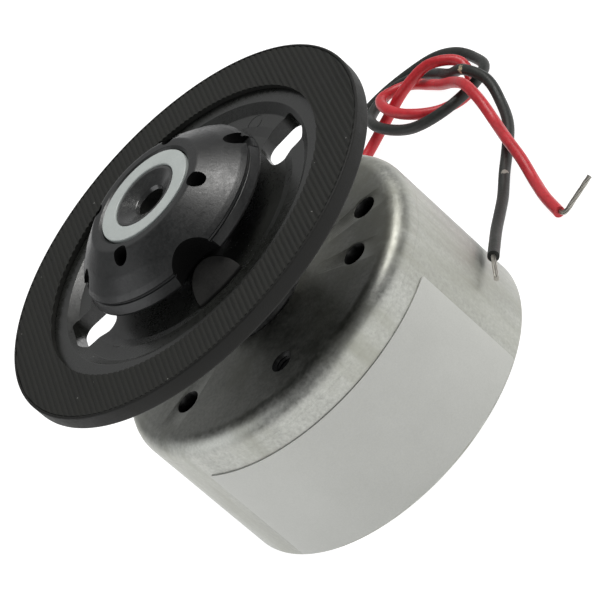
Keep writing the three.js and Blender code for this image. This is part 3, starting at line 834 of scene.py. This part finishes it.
# the walls of the cored holes and the pocket are painted nearly black, as painted shade for the shadow inside
# them
cone.data.materials.append(
    worn_finish(
        "painted_shade_cored_walls", pale=(0.004, 0.004, 0.004), dark=(0.002, 0.002, 0.002), roughness=(0.6, 0.8),
        metal=0, blotch=0.42, grain=4.6, depth=0.01, shine=0.1,
    )
)
cores = [(pocket_spot, pocket_radius)]
cores += [(spot, hole_radius) for spot in upper_holes]
cores += [(spot, notch_radius) for spot in base_notches]
wall_slack, flattest, wall_foot = 0.06, 0.5, 20.45
# painted shade: steep faces on the cored walls above the flange take the near-black finish
for face in cone.data.polygons:
    x, y, z = face.center / MM
    for (core_x, core_y), radius in cores:
        on_wall = abs(math.hypot(x - core_x, y - core_y) - radius) < wall_slack
        if on_wall and face.normal.z < flattest and z > wall_foot:
            face.material_index = 1

ring = turned(
    "press_ring",
    rounded([(2.47, 22.96, 0.03), (3.65, 22.96, 0.03), (3.65, 23.36, 0.07), (2.47, 23.36, 0.09)], 5),
    192,
)
fitted(smoothed(ring), acetal, "pale_acetal", "rotor", "retaining_ring")

# ---------------------------------------------------------------------------
# Leads
# Two thin stranded wires in soft vinyl, one red and one black, soldered to the terminals.
# They come out by the notch and lie in one loose turn, with short stripped and tinned ends.
# ---------------------------------------------------------------------------

lead_diameter, strand_radius, lay_radius = 0.82, 0.064, 0.112
red_route = [
    (3.2, 8.5, 0.7), (2.1, 10.8, 0.6), (0.9, 13.1, 0.6), (1.4, 15.5, 0.5), (2.9, 17.6, 0.5),
    (4.7, 19.4, 0.5), (6.7, 21.0, 0.5), (8.9, 22.3, 0.5), (11.2, 23.4, 0.5), (13.7, 24.3, 0.6),
    (16.1, 24.3, 1.2), (18.4, 23.5, 2.1), (20.7, 22.5, 2.4), (22.2, 20.8, 1.5), (21.1, 18.8, 0.5),
    (18.7, 18.6, 1.2), (16.9, 20.0, 2.2), (16.2, 22.4, 2.6), (16.7, 24.8, 2.3), (18.7, 25.0, 1.3),
    (19.6, 22.6, 1.3), (20.0, 20.2, 1.8), (20.5, 17.7, 2.5), (20.7, 15.2, 3.0), (20.4, 12.7, 2.6),
    (19.8, 10.3, 1.8), (19.3, 7.8, 1.7), (18.8, 5.4, 1.2), (18.1, 3.0, 0.6), (17.6, 0.5, 0.6),
    (17.3, -2.0, 0.5),
]
black_route = [
    (-3.2, 8.5, 0.7), (-2.0, 10.9, 0.6), (-1.0, 13.2, 0.6), (-0.6, 15.8, 0.5), (0.2, 18.3, 0.5),
    (1.6, 20.5, 0.5), (3.3, 22.5, 0.5), (5.0, 24.5, 0.5), (6.9, 26.3, 0.5), (9.2, 27.6, 0.5),
    (11.7, 28.4, 0.5), (14.3, 28.7, 0.5), (16.9, 28.6, 0.5), (19.4, 27.7, 0.5), (21.6, 26.3, 0.5),
    (22.8, 24.0, 0.6), (23.2, 21.5, 0.5), (22.9, 18.9, 0.8), (20.9, 17.3, 1.4), (18.4, 17.3, 1.8),
    (16.3, 18.8, 1.9), (15.2, 21.1, 2.0), (14.8, 23.7, 2.0), (15.5, 26.1, 1.4), (17.8, 27.2, 0.9),
    (19.8, 25.6, 0.8), (20.6, 23.2, 1.1), (21.0, 20.7, 1.6), (21.7, 18.2, 2.3), (22.1, 15.7, 1.7),
    (21.4, 13.4, 0.9), (20.4, 11.0, 0.6), (18.9, 8.8, 0.6), (17.4, 6.7, 0.7), (16.0, 4.4, 0.9),
    (14.9, 2.2, 1.5), (13.8, -0.1, 2.2), (12.9, -2.5, 3.0), (12.0, -4.8, 3.7),
]


def eased(route, steps):
    """Points on the smooth line that a wire takes through its route, in metres."""
    posts = [Vector(point) * MM for point in route]
    posts = [2 * posts[0] - posts[1], *posts, 2 * posts[-1] - posts[-2]]
    line = []
    for a, b, c, d in zip(posts, posts[1:], posts[2:], posts[3:]):
        before, here, after = (math.sqrt((q - p).length) for p, q in ((a, b), (b, c), (c, d)))
        leave = ((b - a) / before - (c - a) / (before + here) + (c - b) / here) * here
        reach = ((c - b) / here - (d - b) / (here + after) + (d - c) / after) * here
        for k in range(steps):
            t = k / steps
            square = 3 * (c - b) - 2 * leave - reach
            cube = 2 * (b - c) + leave + reach
            line.append(b + leave * t + square * t**2 + cube * t**3)
    return [*line, posts[-2]]


def wire_line(name, points):
    """A wire's middle line through points in metres."""
    curve = bpy.data.curves.new(name, "CURVE")
    curve.dimensions = "3D"
    spline = curve.splines.new("POLY")
    spline.points.add(len(points) - 1)
    for place, point in zip(spline.points, points):
        place.co = (*point, 1)
    return curve


sheath, given = open_tree("lead_sheath", ("Radius", "NodeSocketFloat", 0.0004))
sheath_section = wire_section(sheath, 20, given["Radius"])
close_tree(sheath, given, drawn_along(sheath, given["Geometry"], sheath_section))

bundle, given = open_tree(
    "twisted_strands",
    ("Strand Radius", "NodeSocketFloat", 0.00006),
    ("Lay Radius", "NodeSocketFloat", 0.00012),
    ("Twist", "NodeSocketFloat", 6.0),
)
# six strands are laid round a seventh
strand = wire_section(bundle, 8, given["Strand Radius"])
ring_of_six = {"Vertices": 6, "Radius": given["Lay Radius"]}
places = put_node(bundle, "GeometryNodeMeshCircle", ring_of_six).outputs[0]
outer = put_node(bundle, "GeometryNodeInstanceOnPoints", {"Points": places, "Instance": strand}).outputs[0]
lay = put_node(bundle, "GeometryNodeJoinGeometry")
bundle.links.new(outer, lay.inputs[0])
bundle.links.new(strand, lay.inputs[0])
lay_section = put_node(bundle, "GeometryNodeRealizeInstances", {"Geometry": lay.outputs[0]}).outputs[0]
along = put_node(bundle, "GeometryNodeSplineParameter").outputs["Factor"]
roll = result_of(bundle, "MULTIPLY", along, given["Twist"])
twisted = put_node(bundle, "GeometryNodeSetCurveTilt", {"Curve": given["Geometry"], "Tilt": roll}).outputs[0]
close_tree(bundle, given, drawn_along(bundle, twisted, lay_section))

red_vinyl = worn_finish(
    "red_vinyl", pale=(0.6, 0.022, 0.034), dark=(0.4, 0.01, 0.015), roughness=(0.32, 0.5),
    metal=0, blotch=0.5, grain=3, depth=0.02,
)
black_vinyl = worn_finish(
    "black_vinyl", pale=(0.023, 0.026, 0.023), dark=(0.009, 0.0105, 0.009), roughness=(0.4, 0.6),
    metal=0, blotch=0.62, grain=3, depth=0.03, shine=0.4, dust=0.06,
    marks=[((21.63, 18.1, 2.44), 0.3, (0.5, 0.42, 0.27)), ((17.4, 6.35, 0.91), 0.24, (0.26, 0.25, 0.22))],
)
tinned = worn_finish(
    "tinned_strands", pale=(0.46, 0.445, 0.41), dark=(0.3, 0.285, 0.25), roughness=(0.34, 0.5),
    metal=1, blotch=1.6, grain=9, depth=0.006,
)
red_bare_route = [(17.35, -1.6, 0.5), (17.5, -2.5, 0.48), (18.7, -2.5, 0.6), (20.4, -2.4, 0.8)]
black_bare_route = [(12.1, -4.5, 3.66), (11.5, -6, 3.8), (10.9, -7.4, 3.9)]
for colour, route, bare_route, vinyl, length in (
    ("red", red_route, red_bare_route, red_vinyl, 0.077),
    ("black", black_route, black_bare_route, black_vinyl, 0.1),
):
    line = eased(route, 8)
    lead = grown(
        f"{colour}_wire",
        sheath,
        wire_line("lead_line", line),
        {"Radius": lead_diameter / 2 * MM, "Finish": vinyl},
    )
    fitted(smoothed(lead, 50), vinyl, f"{colour}_vinyl", "stator", f"{colour}_lead")
    bare = grown(
        f"{colour}_bare_end",
        bundle,
        wire_line("bare_line", eased(bare_route, 24)),
        {"Strand Radius": strand_radius * MM, "Lay Radius": lay_radius * MM, "Twist": 5.0, "Finish": tinned},
    )
    fitted(smoothed(bare, 50), tinned, "tinned_copper", "stator", f"{colour}_lead_strands")
